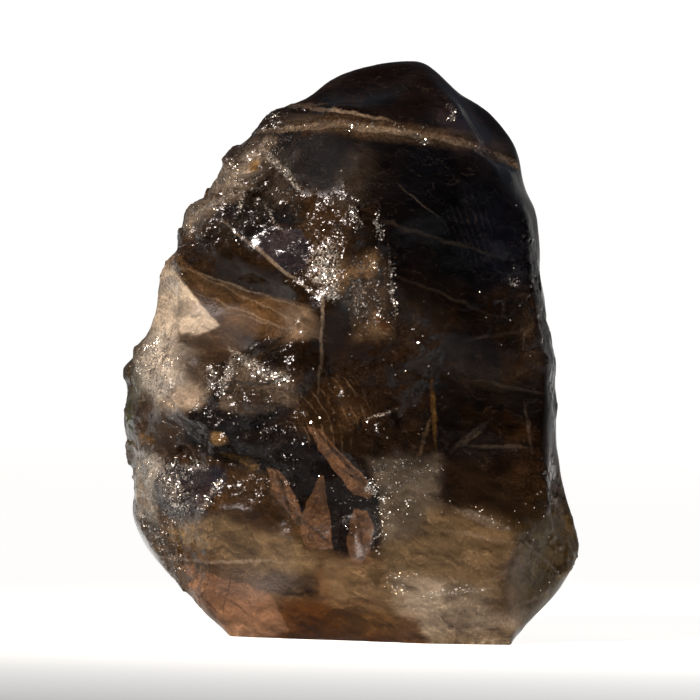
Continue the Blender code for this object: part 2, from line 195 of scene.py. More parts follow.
# Colours over the front: a name, the outline's corners as X and Z, clockwise, how soft the
# edge is in MM, the colour's name and its share
FRONT_FACETS = [
    ("cap", [(-8, 56), (-4, 61), (6, 61), (11, 57), (8, 54.5), (-2, 55.2)], 1.0, "black_smoke_and_shadow", 0.95),
    # The navy face is dark smoke with a painted bluish reflection of the sky.
    ("navy face", [(0.5, 50.6), (8, 51), (17, 49), (20, 44), (19.5, 36.5), (8, 36.5), (3, 39)], 1.2,
     "navy_smoke_and_sky_sheen", 0.9),
    ("centre", [(-6, 34), (4, 36), (5, 28), (11, 22), (9, 18), (0, 19), (-8, 22)], 2.5, "deep_smoke_and_shade",
     0.8),
    # Painted bluish reflection of the sky on dark smoke.
    ("blue black under the crack", [(-9, 50.6), (0.5, 51), (1.8, 46), (-2, 44), (-7.5, 46.5)], 1.0,
     "navy_smoke_and_sky_sheen", 0.85),
    ("dusty ridge", [(-4, 45), (0.6, 44), (0, 40), (-1, 36), (-5, 36), (-5, 42)], 1.6, "brown_smoke",
     0.65),
    ("grey break", [(-19, 44), (-12, 49.5), (-7, 49.5), (-6.5, 45), (-11, 42), (-16, 40.5)], 1.6,
     "grey_smoke", 0.25),
    ("rim of the break", [(-19.5, 42), (-13, 49), (-9, 52), (-8.5, 50.5), (-12, 47), (-17, 41)], 0.8,
     "pale_tan", 0.35),
    ("band in the break", [(-18.5, 43.5), (-11.5, 46.5), (-10.5, 45.5), (-13, 43.5), (-18, 41.5)], 0.5,
     "grey_smoke", 0.9),
    ("dark hole in the break", [(-14, 44), (-7, 44), (-6, 42), (-9, 41.5), (-14, 42.5)], 0.8,
     "black_smoke_and_shadow", 0.9),
    ("clear facet, dim", [(-17, 35.5), (-12.5, 35.8), (-4, 34), (-3.4, 31), (-8, 30), (-13.5, 31.5)],
     0.5, "amber", 0.95),
    ("clear facet, bright end", [(-7.5, 33), (-4, 34), (-3.4, 31), (-6.5, 30.5)], 0.6, "pale_tan",
     0.18),
    ("right of the knob", [(-20, 30), (-15.5, 29.4), (-14.2, 26), (-16, 23.8), (-20, 24)], 1.0,
     "grey_smoke", 0.8),
    ("knob", [(-22, 31), (-19.4, 30.6), (-17.4, 28), (-17.2, 25.4), (-18.8, 24), (-22, 24.6)], 1.1,
     "pale_veil", 0.9),
    ("brow", [(-13.5, 26.5), (-12, 28.3), (-9.5, 28), (-6.5, 26.5), (-5, 24), (-9.5, 22.8),
     (-13.5, 23.3)], 0.6, "grey_smoke", 0.85),
    ("strip under the knob", [(-22.5, 24.3), (-17.5, 23.6), (-15, 21), (-17, 17.5), (-22.5, 18)], 0.5,
     "brown_smoke", 0.9),
    ("hollow", [(-16.5, 22.8), (-13, 23.2), (-9, 22.2), (-3.6, 19.6), (-2.4, 17.5), (-1.6, 14.5),
     (-5, 15.5), (-8, 15.5), (-12, 17.2), (-15.5, 18), (-17.5, 18.3)], 0.4, "black_smoke_and_shadow", 1.0),
    ("left strip", [(-22.8, 18.5), (-19.8, 18), (-19.3, 11), (-22, 11.5)], 0.5, "pale_veil", 0.6),
    ("dark rim of the foot", [(-22, 10.8), (-19, 11), (-15.5, 5.5), (-17.5, 4.5)], 0.5, "grey_smoke",
     0.6),
    ("brown over the foot", [(-12, 16), (-8, 15.5), (-7, 13.5), (-5, 11.5), (-6, 10.3), (-9, 10.3),
     (-11, 11.8), (-13.5, 13)], 0.7, "brown_smoke", 0.95),
    ("grey green band", [(-18, 11.2), (-15, 12), (-11, 11.3), (-5, 9.8), (-3, 8), (-4.5, 5.5),
     (-10, 7), (-17.5, 7.3), (-18.5, 9.5)], 0.7, "milk", 0.9),
    ("tan of the foot", [(-3, 8.5), (6, 8.5), (6.5, 3), (-3.5, 3)], 1.0, "tan", 0.9),
    ("milky bulge", [(4, 14), (9, 15), (14, 12.5), (20, 10.5), (22, 6), (16, 0), (6, -1), (3.5, 6)],
     1.8, "milk", 0.95),
    ("pale spot in the bulge", [(5.5, 6.5), (15, 5.5), (15.5, 2.2), (6.5, 1.6)], 1.4, "pale_tan", 0.5),
    ("frosted top", [(2.2, 18.2), (9, 18.6), (9.5, 14.5), (6, 11.5), (3.6, 10)], 0.9, "frost", 0.8),
    ("dark over the bulge", [(9, 18), (21, 19.5), (23, 14), (17, 12.5), (12.5, 14), (9.8, 16)], 1.0,
     "deep_smoke_and_shade", 0.85),
    ("olive hip", [(16.5, 11.8), (24.5, 13), (24.5, 5), (19, -1), (16, -1), (17.5, 6)], 1.2, "olive",
     0.85),
    ("rusty foot", [(-7, 3.4), (8, 3.2), (9.5, 0), (6, -2), (-9.5, -2), (-9.5, 1)], 0.6, "rust", 0.85),
    ("rusty pocket", [(-1.2, 38.4), (1.6, 38.8), (3.3, 35), (3.2, 31.4), (0.4, 31.4), (-0.8, 34)], 1.3,
     "ochre_stain_and_reflection", 0.75),
    ("brown under the ridge", [(-6, 27), (-1.2, 27.4), (1.4, 22.4), (-1.6, 20.2), (-6, 22.6)], 0.9,
     "brown_smoke", 0.85),
]

# Small colours over them: a name, the middle as X and Z, the half sizes, the turn in degrees,
# how soft the edge is, the colour's name and its share
FRONT_SPOTS = [
    ("warm end of the knob", (-17.2, 24.0), (2.2, 1.2), 20, 0.6, "peach", 0.8),
    ("light of the knob", (-19.4, 27.6), (1.7, 2.6), 10, 0.8, "peach", 0.5),
    # Painted shade in the brow.
    ("shade in the brow", (-10.6, 24.4), (2.4, 1.0), -8, 0.7, "deep_smoke_and_shade", 0.7),
    ("first iron spot", (-13.4, 20.1), (0.8, 0.55), -10, 0.35, "iron", 0.85),
    ("second iron spot", (-12.0, 18.3), (1.2, 0.3), -12, 0.4, "iron", 0.5),
    ("third iron spot", (-10.2, 17.8), (1.0, 0.45), -26, 0.4, "iron", 0.75),
    ("blue end of the nub", (-13.6, 16.2), (0.8, 0.9), 0, 0.6, "blue_sheen", 0.7),
    ("yellow of the strip", (-21.2, 13.8), (0.8, 1.2), 0, 0.6, "gold", 0.5),
    ("yellow over the strip", (-21.4, 19.6), (0.9, 0.6), 0, 0.6, "gold", 0.5),
    ("dark patch in the foot", (-6.8, 5.9), (3.0, 1.1), -6, 0.7, "grey_smoke", 0.75),
    ("black edge under it", (-4.8, 4.6), (1.8, 0.22), 6, 0.5, "black_smoke_and_shadow", 0.8),
    ("olive rim", (-23.4, 23.2), (0.9, 5.4), 0, 0.4, "olive", 0.9),
    ("olive in the rim", (-22.9, 21.0), (0.35, 3.0), 0, 0.5, "green_smoke", 0.8),
    ("red spot", (-7.8, 41.2), (1.0, 0.7), 0, 0.6, "rust", 0.8),
    ("golden spot", (-11.0, 48.3), (0.55, 0.55), 0, 0.5, "gold", 0.9),
    ("golden spark of the pocket", (1.4, 33.2), (1.2, 0.7), -20, 0.7, "peach", 0.6),
    ("second spark of it", (0.5, 35.3), (0.6, 0.9), 10, 0.7, "peach", 0.6),
    ("red edge of it", (2.7, 32.6), (1.0, 0.4), -40, 0.7, "rust", 0.8),
    ("grey haze over the ridge", (-0.6, 47.0), (1.3, 2.8), -16, 1.0, "grey_smoke", 0.35),
    ("first haze on the right", (6.6, 32.6), (3.2, 2.0), -30, 1.0, "grey_smoke", 0.12),
    ("second haze on the right", (12.6, 27.6), (3.6, 1.5), -24, 1.0, "grey_smoke", 0.20),
    ("third haze on the right", (18.8, 31.0), (1.6, 3.6), 14, 1.0, "grey_smoke", 0.16),
    ("blue sheen under the knee", (12.0, 52.6), (3.6, 2.0), -30, 1.0, "blue_sheen", 0.35),
    ("blue sheen on the right face", (14.4, 42.0), (2.6, 4.2), 20, 1.0, "blue_sheen", 0.16),
    ("rust in the foot's middle", (-3.0, 2.6), (4.6, 1.0), 4, 0.9, "rust", 0.5),
    ("warm right foot", (3.2, 2.4), (3.0, 1.2), 0, 1.0, "gold", 0.4),
]

# Thin cracks and edges that catch the light, the silver ones being painted glints: a name, the middle
# as X and Z, the half sizes, the turn in degrees, the colour's name and its share
FRONT_LINES = [
    ("haze along the main crack", (2.0, 52.2), (12.0, 0.80), -5, "ochre_stain_and_reflection", 0.35),
    ("main crack, left", (-5.2, 52.4), (4.8, 0.26), 4, "crack", 0.8),
    ("main crack, middle", (3.0, 52.2), (5.2, 0.30), -6, "crack", 0.75),
    ("main crack, right", (9.6, 51.2), (3.4, 0.20), -12, "crack", 0.5),
    ("main crack, right end", (14.2, 50.1), (3.0, 0.34), -18, "crack", 1.0),
    ("upper crack, left", (-7.6, 54.7), (2.6, 0.14), 4, "crack", 0.7),
    ("upper crack", (-2.2, 54.1), (3.6, 0.18), -9, "crack", 1.0),
    # Painted glints along streaks in the break.
    ("streak in the break", (-8.1, 48.0), (2.2, 0.26), -48, "silver_flake_and_glint", 1.0),
    ("second streak in it", (-14.3, 44.4), (2.0, 0.22), 24, "silver_flake_and_glint", 0.8),
    ("third streak in it", (-12.0, 44.2), (0.9, 0.18), 74, "silver_flake_and_glint", 0.8),
    ("fourth streak in it", (-8.5, 42.7), (1.2, 0.16), -56, "silver_flake_and_glint", 0.6),
    ("light band in it", (-14.9, 46.8), (2.0, 0.36), 13, "frost", 0.9),
    ("second light band in it", (-17.6, 42.6), (1.8, 0.5), 30, "pale_tan", 0.6),
    ("edge of the violet facet", (-8.6, 38.4), (4.4, 0.14), -37, "peach", 0.6),
    ("edge of the wedge", (-11.6, 35.6), (5.2, 0.10), -17, "peach", 0.35),
    ("first hair in the clear facet", (-9.8, 34.0), (5.2, 0.08), -24, "peach", 0.35),
    ("second hair in it", (-10.4, 32.8), (4.6, 0.08), -20, "peach", 0.35),
    ("third hair in it", (-8.0, 31.8), (4.0, 0.08), -14, "peach", 0.3),
    ("ridge, upper", (-3.3, 32.6), (0.16, 2.8), 2, "peach", 0.7),
    ("ridge, lower", (-3.3, 28.0), (0.12, 2.4), -2, "peach", 0.35),
    # The silver lines from here to the glint in the centre are painted glints.
    ("glint on the ridge", (-3.2, 37.8), (1.1, 1.9), 4, "silver_flake_and_glint", 0.9),
    ("second glint on it", (-2.6, 35.6), (0.7, 0.7), 0, "silver_flake_and_glint", 0.9),
    ("knob, upper glint", (-20.7, 29.4), (0.9, 1.5), 10, "silver_flake_and_glint", 0.7),
    ("knob, lower glint", (-19.8, 26.0), (0.8, 1.6), -16, "silver_flake_and_glint", 0.6),
    ("nub, left flank", (-18.2, 14.4), (0.8, 2.4), 12, "silver_flake_and_glint", 0.6),
    ("nub, rim", (-13.9, 14.4), (0.24, 1.7), -30, "silver_flake_and_glint", 0.8),
    ("nub, crest", (-16.6, 17.0), (1.6, 0.18), -6, "silver_flake_and_glint", 0.6),
    ("brow, left leg", (-12.6, 26.8), (0.3, 1.6), -10, "silver_flake_and_glint", 1.0),
    ("brow, right leg", (-9.5, 27.3), (2.6, 0.34), -31, "silver_flake_and_glint", 0.9),
    ("edge right of the centre", (3.7, 36.4), (0.14, 2.8), 8, "silver_flake_and_glint", 0.5),
    ("glint in the centre", (3.0, 23.1), (1.2, 0.14), 16, "silver_flake_and_glint", 0.9),
    ("first golden strand", (8.4, 23.6), (0.22, 2.6), 6, "gold", 0.7),
    ("second golden strand", (7.4, 20.6), (0.16, 1.8), -16, "ochre_stain_and_reflection", 0.6),
    ("step, rising", (12.4, 21.2), (1.8, 0.26), 42, "frost", 0.35),
    ("step, level", (15.4, 20.2), (2.2, 0.16), 2, "frost", 0.35),
    ("step, right", (18.3, 22.0), (0.14, 1.8), 12, "frost", 0.3),
    ("scratch on the right face", (6.4, 44.8), (2.0, 0.07), -36, "frost", 0.5),
    ("long faint edge", (6.8, 41.6), (5.6, 0.18), -14, "frost", 0.25),
    ("second faint edge", (9.4, 35.4), (4.6, 0.14), -20, "frost", 0.18),
    ("third faint edge", (14.6, 31.6), (4.0, 0.14), 12, "frost", 0.18),
    ("fourth faint edge", (16.6, 26.2), (4.2, 0.14), -10, "frost", 0.18),
    ("line over the rosy foot", (-12.4, 7.6), (4.8, 0.14), 2, "peach", 0.5),
    ("pale edge in the bulge", (13.4, 11.0), (3.0, 0.14), -8, "peach", 0.45),
    ("second pale edge in it", (17.0, 7.6), (2.6, 0.12), 24, "peach", 0.3),
    ("third pale edge in it", (9.6, 4.0), (3.6, 0.12), 6, "peach", 0.3),
    ("pale streak on the bulge", (13.8, 12.7), (2.2, 0.34), -20, "pale_tan", 0.5),
    # Painted glint along a line low in the bulge.
    ("white line low in the bulge", (11.0, 5.4), (2.8, 0.16), 6, "silver_flake_and_glint", 0.9),
    ("wavy pale patch at the foot", (15.9, 2.6), (2.6, 0.6), 12, "pale_tan", 0.45),
    ("vein in the hip", (20.4, 8.6), (2.6, 0.14), -42, "pale_tan", 0.4),
    ("second vein in the hip", (19.4, 4.6), (2.6, 0.14), 24, "pale_tan", 0.4),
    ("third vein in the hip", (22.6, 12.4), (0.14, 2.2), 24, "pale_tan", 0.35),
    ("dark crack in the rosy foot", (-12.0, 4.3), (0.08, 1.6), -8, "deep_smoke_and_shade", 0.8),
    ("second dark crack in it", (-11.0, 3.2), (1.2, 0.08), -30, "deep_smoke_and_shade", 0.8),
    ("third dark crack in it", (-14.2, 3.4), (1.4, 0.09), -36, "deep_smoke_and_shade", 0.8),
    ("dark crack in the long splinter", (-0.6, 18.3), (3.6, 0.17), -48, "black_smoke_and_shadow", 1.0),
    ("second dark crack in it", (0.9, 16.4), (1.9, 0.13), -36, "black_smoke_and_shadow", 1.0),
    ("dark crack in the left splinter", (-6.6, 14.9), (1.7, 0.16), -70, "black_smoke_and_shadow", 1.0),
    ("dark crack in the second splinter", (-3.2, 11.2), (1.8, 0.12), -40, "black_smoke_and_shadow", 0.9),
    ("second dark crack in it", (-2.3, 14.4), (2.0, 0.06), -76, "deep_smoke_and_shade", 0.8),
    ("dark crack in the third splinter", (1.4, 10.6), (1.9, 0.12), -80, "black_smoke_and_shadow", 0.9),
]

# Facets with sharp edges, laid over those: a name, the outline's corners as X and Z, clockwise,
# how soft the edge is in MM, the colour's name and its share
SHARP_FACETS = [
    ("wedge", [(-19.5, 40.2), (-14.5, 41), (-11.5, 40.2), (-6.8, 36.8), (-9.5, 35.4), (-14.5, 36.3),
     (-17.5, 38)], 0.16, "deep_smoke_and_shade", 0.95),
    ("lower end of the wedge", [(-10, 38.8), (-4.8, 35.4), (-5.2, 34.2), (-10.5, 35.2)], 0.16,
     "deep_smoke_and_shade", 0.95),
    # Dark smoke with a painted bluish sheen.
    ("violet facet", [(-11, 40.6), (-8.5, 42.2), (-5.5, 41.5), (-4.5, 40), (-5, 37.6), (-7, 37.2)],
     0.12, "violet_sheen_on_smoke", 0.9),
    ("clear facet", [(-21.5, 37), (-19, 37.2), (-13.6, 31.8), (-16, 30.4), (-19, 30.4), (-22, 32)],
     0.2, "pale_tan", 0.95),
    ("dark line beside it", [(-19, 37.6), (-17.6, 37.2), (-13, 32.2), (-13.5, 31.5), (-16, 34)], 0.14,
     "brown_smoke", 0.85),
    ("dark bar under it", [(-18, 30.9), (-12, 29.9), (-11.3, 28.8), (-14, 28.8), (-18, 29.8)], 0.2,
     "brown_smoke", 0.8),
    # The nub is dark smoke with a painted bluish sheen.
    ("nub", [(-18.5, 17.5), (-14, 17), (-12.3, 16.3), (-12.8, 15), (-15, 12.8), (-18, 11.5),
     (-19.5, 12.5), (-20, 15.5)], 0.2, "violet_sheen_on_smoke", 0.8),
    ("rosy foot", [(-17, 7.5), (-13, 8), (-9.5, 7.2), (-8, 4.8), (-5, 4), (-4.5, 1.2), (-11.5, -1),
     (-13.5, 1), (-16, 4.5)], 0.2, "rose", 0.95),
    ("dark facet by the ridge", [(-3.2, 34.6), (-0.9, 34.4), (-0.3, 31), (-1, 27.4), (-3, 26.8)], 0.12,
     "deep_smoke_and_shade", 0.95),
    ("light facet in the bulge", [(5.6, 7.0), (10, 6.5), (9.7, 2.7), (6.3, 3.6)], 0.3, "pale_tan", 0.3),
    ("light facet in the foot", [(-2.4, 8.3), (2.6, 8.0), (3.6, 4.6), (-1.2, 4.2)], 0.4, "milk", 0.6),
    # Painted shadow in the gaps round the splinters.
    ("dark round the splinters", [(-9.3, 19.2), (-5, 20.4), (-1.6, 19.2), (3.2, 15.6), (3.4, 10),
     (0.8, 8.6), (-2, 9.4)], 0.3, "black_smoke_and_shadow", 0.95),
    ("left splinter", [(-8.5, 17.3), (-7.1, 17.2), (-5.3, 14.7), (-4.5, 12.6), (-5.4, 12.2),
     (-7.6, 14.6)], 0.09, "splinter", 0.95),
    ("second splinter", [(-3.5, 17.1), (-2.6, 16.8), (-1.8, 13.2), (-1.4, 9.4), (-4.2, 9.2),
     (-5.1, 11.6), (-4.3, 13.6)], 0.09, "splinter", 1.0),
    ("long splinter", [(-4.4, 21.7), (-2.9, 21.4), (2.6, 15.4), (2.2, 14.6), (0.6, 15), (-3.2, 19.4)],
     0.09, "splinter", 1.0),
    ("third splinter", [(0.7, 13.6), (1.9, 13.4), (2.7, 11.4), (2.4, 8), (0.4, 7.6), (0.1, 10.6)],
     0.09, "splinter", 0.85),
]

# Golden rings of a shell fracture below the ridge, with painted reflection: their middle as X and Z,
# and their spacing
GOLDEN_RINGS = ((-10.0, 19.0), 0.85)
GOLDEN_PATCH = ((-2.6, 23.6), (3.4, 3.2), -50)

# Fine scratches side by side on the right face: their middle, half sizes and turn, and spacing
SCRATCHES = ((11.8, 42.4), (3.2, 2.6), -68)
SCRATCH_SPACING = 0.62

# Clusters of silvery flakes, partly painted glints: a name, the middle as X and Z, half sizes, turn and
# share
FLAKES = [
    ("upper left", (-14.6, 45.4), (6.8, 4.4), 34, 0.09),
    ("upper left rim", (-15.2, 47.0), (7.5, 1.3), 46, 0.24),
    ("left corner of the break", (-18.4, 42.4), (2.2, 1.5), 30, 0.3),
    ("band in the break", (-14.2, 44.6), (3.6, 0.8), 26, 0.25),
    ("crack's left end", (-9.6, 53.2), (3.0, 1.0), 30, 0.35),
    ("streak in the break", (-8.1, 48.0), (2.0, 0.4), -44, 0.7),
    ("ridge", (-3.2, 37.4), (1.1, 2.3), 4, 0.95),
    ("ridge, lower end", (-2.2, 35.4), (0.8, 0.9), 0, 0.9),
    ("over it", (-2.5, 40.9), (1.1, 1.4), 0, 0.2),
    ("right of the ridge", (-0.4, 42.9), (0.7, 1.2), 30, 0.75),
    ("farther right", (2.2, 42.4), (0.4, 1.5), 20, 0.75),
    ("under the knee", (9.3, 54.3), (0.5, 0.8), 20, 0.8),
    ("crack's right end", (13.8, 50.3), (2.2, 0.35), -20, 0.9),
    ("crack's middle", (6.4, 51.5), (0.9, 0.4), -30, 0.8),
    ("along the main crack", (-2.0, 52.5), (7.0, 0.4), 0, 0.25),
    ("edge right of the centre", (3.8, 36.4), (0.3, 2.8), 8, 0.5),
    ("knob", (-20.4, 28.0), (2.0, 3.2), 0, 0.4),
    ("brow, left", (-12.6, 26.6), (0.45, 1.9), -24, 0.95),
    ("brow, top", (-11.6, 28.2), (0.8, 0.5), 0, 0.95),
    ("brow, right", (-8.6, 27.1), (2.6, 0.55), -24, 0.9),
    ("beside the brow", (-14.2, 26.4), (0.4, 1.2), 0, 0.5),
    ("nub, left", (-17.8, 14.4), (1.8, 2.8), 10, 0.8),
    ("nub, right rim", (-14.0, 14.2), (0.6, 1.8), -34, 0.8),
    ("nub, top", (-16.2, 17.2), (2.2, 0.4), -4, 0.7),
    ("left strip", (-21.6, 14.4), (1.2, 5.6), 4, 0.3),
    ("left strip, top", (-21.2, 17.2), (1.1, 1.0), 4, 0.5),
    ("left edge of the hollow", (-17.0, 21.0), (2.0, 2.6), 0, 0.07),
    ("hollow", (-9.0, 21.8), (7.0, 0.7), -12, 0.04),
    ("gap of the splinters", (-0.2, 13.6), (1.0, 2.8), 20, 0.06),
    ("lip", (5.8, 17.9), (3.4, 0.5), -2, 0.5),
    ("frost", (4.6, 15.4), (3.0, 2.6), 0, 0.16),
    ("frost, left edge", (3.4, 11.6), (0.7, 2.4), 0, 0.3),
    ("splinter's end", (2.6, 15.6), (0.9, 0.45), 0, 0.9),
    ("rusty pocket", (1.2, 35.4), (1.9, 3.2), 0, 0.26),
    ("spark on the right face", (16.3, 37.0), (0.5, 0.14), 12, 1.0),
    ("lower left rim", (-19.0, 8.4), (1.2, 3.6), 34, 0.2),
    ("clear facet's left edge", (-20.4, 33.6), (0.6, 3.0), -10, 0.3),
    ("white line in the bulge", (11.0, 5.4), (2.6, 0.4), 6, 0.25),
    ("sparks over the bulge", (13.0, 13.4), (5.0, 1.0), -14, 0.05),
    ("sparks low in the foot", (5.4, 6.2), (1.6, 1.2), 0, 0.12),
]


def length(name, description, default):
    return FloatProperty(
        name=name, description=description, default=default, unit="LENGTH", precision=5
    )


def angle(name, description, degrees):
    default = math.radians(degrees)
    return FloatProperty(name=name, description=description, default=default, subtype="ANGLE")


def power(name, description, default):
    return FloatProperty(name=name, description=description, default=default, unit="POWER")


def factor(name, description, default):
    return FloatProperty(name=name, description=description, default=default, subtype="FACTOR")


def number(name, description, default):
    return FloatProperty(name=name, description=description, default=default)


def rounds(name, description, default):
    return IntProperty(name=name, description=description, default=default, min=0)


def colour(name, description, default):
    size = len(default)
    return FloatVectorProperty(
        name=name, description=description, default=default, subtype="COLOR", size=size, min=0, max=1
    )


class BrokenSkin(bpy.types.PropertyGroup):
    """Sizes of the broken skin."""

    grid: length("Skin grid", "Length of the small faces that carry the chips", 0.34 * MM)
    polish_rounds: rounds("Polish rounds", "How often the glassy fractures are smoothed", 26)
    wearing_rounds: rounds("Wearing rounds", "How often the worn edges are smoothed besides", 70)
    hackly_rounds: rounds("Hackly rounds", "How often the whole skin is smoothed at first", 6)
    sharp_angle: angle("Sharp angle", "Edges that bend more than this are shaded sharp", 24)
    chip_lean: factor("Chip lean", "How far the chips of the hackly fractures lean", 0.24)
    crack_depth: length("Crack depth", "Depth of the open cracks across the front", 0.30 * MM)


class SmokeColours(bpy.types.PropertyGroup):
    """Colours of the smoke, the veils and the stains, and of painted light and shade."""

    # Black smoke is also the painted shadow in the gaps round the splinters.
    black_smoke_and_shadow: colour("Black smoke", "The darkest smoke", (0.0045, 0.0035, 0.0035))
    # Navy is dark smoke with a painted bluish reflection of the sky over it.
    navy_smoke_and_sky_sheen: colour("Navy", "Bluish black of the right face", (0.0022, 0.0026, 0.0042))
    # Deep smoke is also the painted shade in the brow.
    deep_smoke_and_shade: colour("Deep smoke", "Dark reddish brown smoke", (0.016, 0.008, 0.003))
    brown_smoke: colour("Brown smoke", "Brown smoke of the thick parts", (0.046, 0.024, 0.010))
    grey_smoke: colour("Grey smoke", "Smoke with fine veils in it", (0.105, 0.078, 0.058))
    # Violet smoke is dark smoke with a painted bluish sheen.
    violet_sheen_on_smoke: colour("Violet smoke", "Bluish sheen of a turned face", (0.026, 0.022, 0.030))
    blue_sheen: colour("Blue sheen", "Blue light on a dark face", (0.030, 0.040, 0.080))
    green_smoke: colour("Green smoke", "Greenish thin smoke", (0.035, 0.045, 0.006))
    pale_tan: colour("Pale tan", "Clear quartz with the light behind it", (0.62, 0.505, 0.395))
    pale_veil: colour("Pale veil", "White veil in clear quartz", (0.58, 0.53, 0.47))
    tan: colour("Tan", "Clear quartz of the foot", (0.19, 0.105, 0.048))
    amber: colour("Amber", "Light brown clear quartz", (0.105, 0.055, 0.022))
    peach: colour("Peach", "Warm light spot", (0.6, 0.46, 0.35))
    milk: colour("Milk", "Milky quartz of the foot", (0.235, 0.155, 0.080))
    rose: colour("Rose", "Rosy brown of the clear foot", (0.23, 0.112, 0.056))
    splinter: colour("Splinter", "Rosy brown of the splinters", (0.155, 0.080, 0.042))
    frost: colour("Frost", "Frosted granular break", (0.18, 0.145, 0.11))
    olive: colour("Olive", "Greenish thin edges", (0.105, 0.072, 0.014))
    gold: colour("Gold", "Golden stain in the cracks", (0.26, 0.14, 0.040))
    # Ochre is a stain, and also the painted reflection in the golden rings.
    ochre_stain_and_reflection: colour("Ochre", "Tan stain in the cracks", (0.27, 0.175, 0.100))
    iron: colour("Iron", "Iron spots", (0.26, 0.15, 0.055))
    rust: colour("Rust", "Reddish iron stain", (0.095, 0.030, 0.003))
    crack: colour("Crack", "Light on the open cracks", (0.44, 0.33, 0.235))
    # The crumbs' light is a painted sparkle in the hackly break.
    crumb_sparkle: colour("Dust", "Light that fine crumbs add to the hackly break", (0.055, 0.045, 0.038))
    # Silver is the flakes' own colour, and also painted glints on the break, ridge, knob, nub and brow.
    silver_flake_and_glint: colour("Silver", "Flakes with air behind them", (0.95, 0.87, 0.8))


class QuartzGlass(bpy.types.PropertyGroup):
    """How the quartz passes, bends and takes up light."""

    ior: number("IOR", "Refraction of quartz", 1.544)
    transmission: factor("Transmission", "Share of the light that goes into the stone", 0.80)
    absorbed: colour(
        "Smoke in the stone",
        "Colour that the stone gives to light on its way through",
        (0.60, 0.42, 0.28, 1.0),
    )
    density: number("Smoke density", "How fast the stone takes up light, per metre", 70.0)
    gloss: colour(
        "Gloss",
        "Strength of the reflections on the skin, white is that of clean quartz",
        (0.11, 0.11, 0.125, 1.0),
    )
    glassy: factor("Glassy roughness", "Roughness of the smooth fractures", 0.14)


class StudioStage(bpy.types.PropertyGroup):
    """The floor, the lights and the camera."""

    floor_colour: colour("Floor", "Colour of the pale floor", (0.32, 0.315, 0.305))
    dark_paint: colour("Dark paint", "Colour of the floor where it is dark", (0.04, 0.04, 0.045))
    floor_radius: length("Floor radius", "Radius of the floor before it bends up", 1.1)
    floor_glow: number("Floor glow", "How strongly the pale floor and wall are lit from below", 0.97)
    dark_glow: number("Dark glow", "How strongly the dark floor is lit from below", 0.05)
    key_power: power("Key power", "Power of the key light", 150.0)
    rim_power: power("Rim power", "Power of the light from the left", 10.0)
    world_glow: number("World glow", "Strength of the light from all round", 0.08)
    camera_distance: length("Camera distance", "From the camera to the stone's middle", 0.60)
    camera_roll: angle("Camera roll", "Turn of the camera about its line of sight", -1.9)


def new_piece(name, bm):
    mesh = bpy.data.meshes.new(name)
    bm.to_mesh(mesh)
    bm.free()
    piece = bpy.data.objects.new(name, mesh)
    bpy.context.scene.collection.objects.link(piece)
    return piece


def keep_evaluated_mesh(piece):
    """The piece's evaluated mesh becomes its own, and its modifiers go."""
    graph = bpy.context.evaluated_depsgraph_get()
    mesh = bpy.data.meshes.new_from_object(piece.evaluated_get(graph))
    old = piece.data
    piece.modifiers.clear()
    piece.data = mesh
    bpy.data.meshes.remove(old)


def smooth_share(value, low, high):
    t = min(max((value - low) / (high - low), 0.0), 1.0)
    return t * t * (3 - 2 * t)


def near(place, centre, reach):
    """1 at the centre of a patch of the skin, and 0 past its reach."""
    return 1.0 - smooth_share((place - Vector(centre)).length / reach, 0.55, 1.0)


def hackle(place):
    """How hackly the break is at a place in MM: 0 is glassy, 1 is stepped and chipped."""
    rough = max(near(place, centre, reach) * share for _, centre, reach, share in HACKLY_PATCHES)
    glassy = max(near(place, centre, reach) for _, centre, reach in GLASSY_PATCHES)
    return rough * (1.0 - 0.85 * glassy)


def chips(place, size):
    """Broken cells, each of them a small plane that leans its own way: height in MM."""
    spot = place / size + noise.noise_vector(place / (size * 2.2)) * 0.25
    centre = noise.voronoi(spot)[1][0]
    lean = noise.cell_vector(centre * 37.0) - Vector((0.5, 0.5, 0.5))
    return (spot - centre).dot(lean) * size


def ripple_height(place):
    """Rings round the blows that made the shell fractures: height in MM."""
    height = 0.0
    for _, blow, inner, outer, length, tall in RIPPLES:
        away = (place - Vector(blow)).length
        if inner < away < outer:
            middle = (inner + outer) / 2
            fade = 1.0 - abs(away - middle) / (outer - middle)
            wobble = noise.noise(place / 6.0) * 1.4
            height += tall * fade * math.sin((away + wobble) * math.tau / length)
    return height


def distance_to_line(x, z, line):
    """Distance from a point of the front to a bent line, both as X and Z in MM."""
    best = math.inf
    for (x0, z0), (x1, z1) in zip(line, line[1:]):
        along_x, along_z = x1 - x0, z1 - z0
        t = ((x - x0) * along_x + (z - z0) * along_z) / (along_x**2 + along_z**2)
        t = min(max(t, 0.0), 1.0)
        best = min(best, math.hypot(x - x0 - along_x * t, z - z0 - along_z * t))
    return best


def crack_share(place):
    """1 in the open cracks of the front, and 0 away from them."""
    if place.y > -1.0:
        return 0.0
    wander = noise.noise_vector(place / 2.6) * 0.5 + noise.noise_vector(place / 0.9) * 0.18
    found = 0.0
    for _, line, half_width, share in CRACKS:
        away = distance_to_line(place.x + wander.x, place.z + wander.z, line)
        found = max(found, share * (1.0 - smooth_share(away / half_width, 0.4, 1.6)))
    return found


def soft_step(values, low, high):
    t = np.clip((values - low) / (high - low), 0.0, 1.0)
    return t * t * (3.0 - 2.0 * t)


def depth_inside(x, z, corners):
    """Distance in MM to the nearest side of a convex outline, positive inside it."""
    depth = np.full(x.shape, math.inf)
    for (x0, z0), (x1, z1) in zip(corners, corners[1:] + corners[:1]):
        length = math.hypot(x1 - x0, z1 - z0)
        side = ((z1 - z0) * (x - x0) - (x1 - x0) * (z - z0)) / length
        depth = np.minimum(depth, side)
    return depth


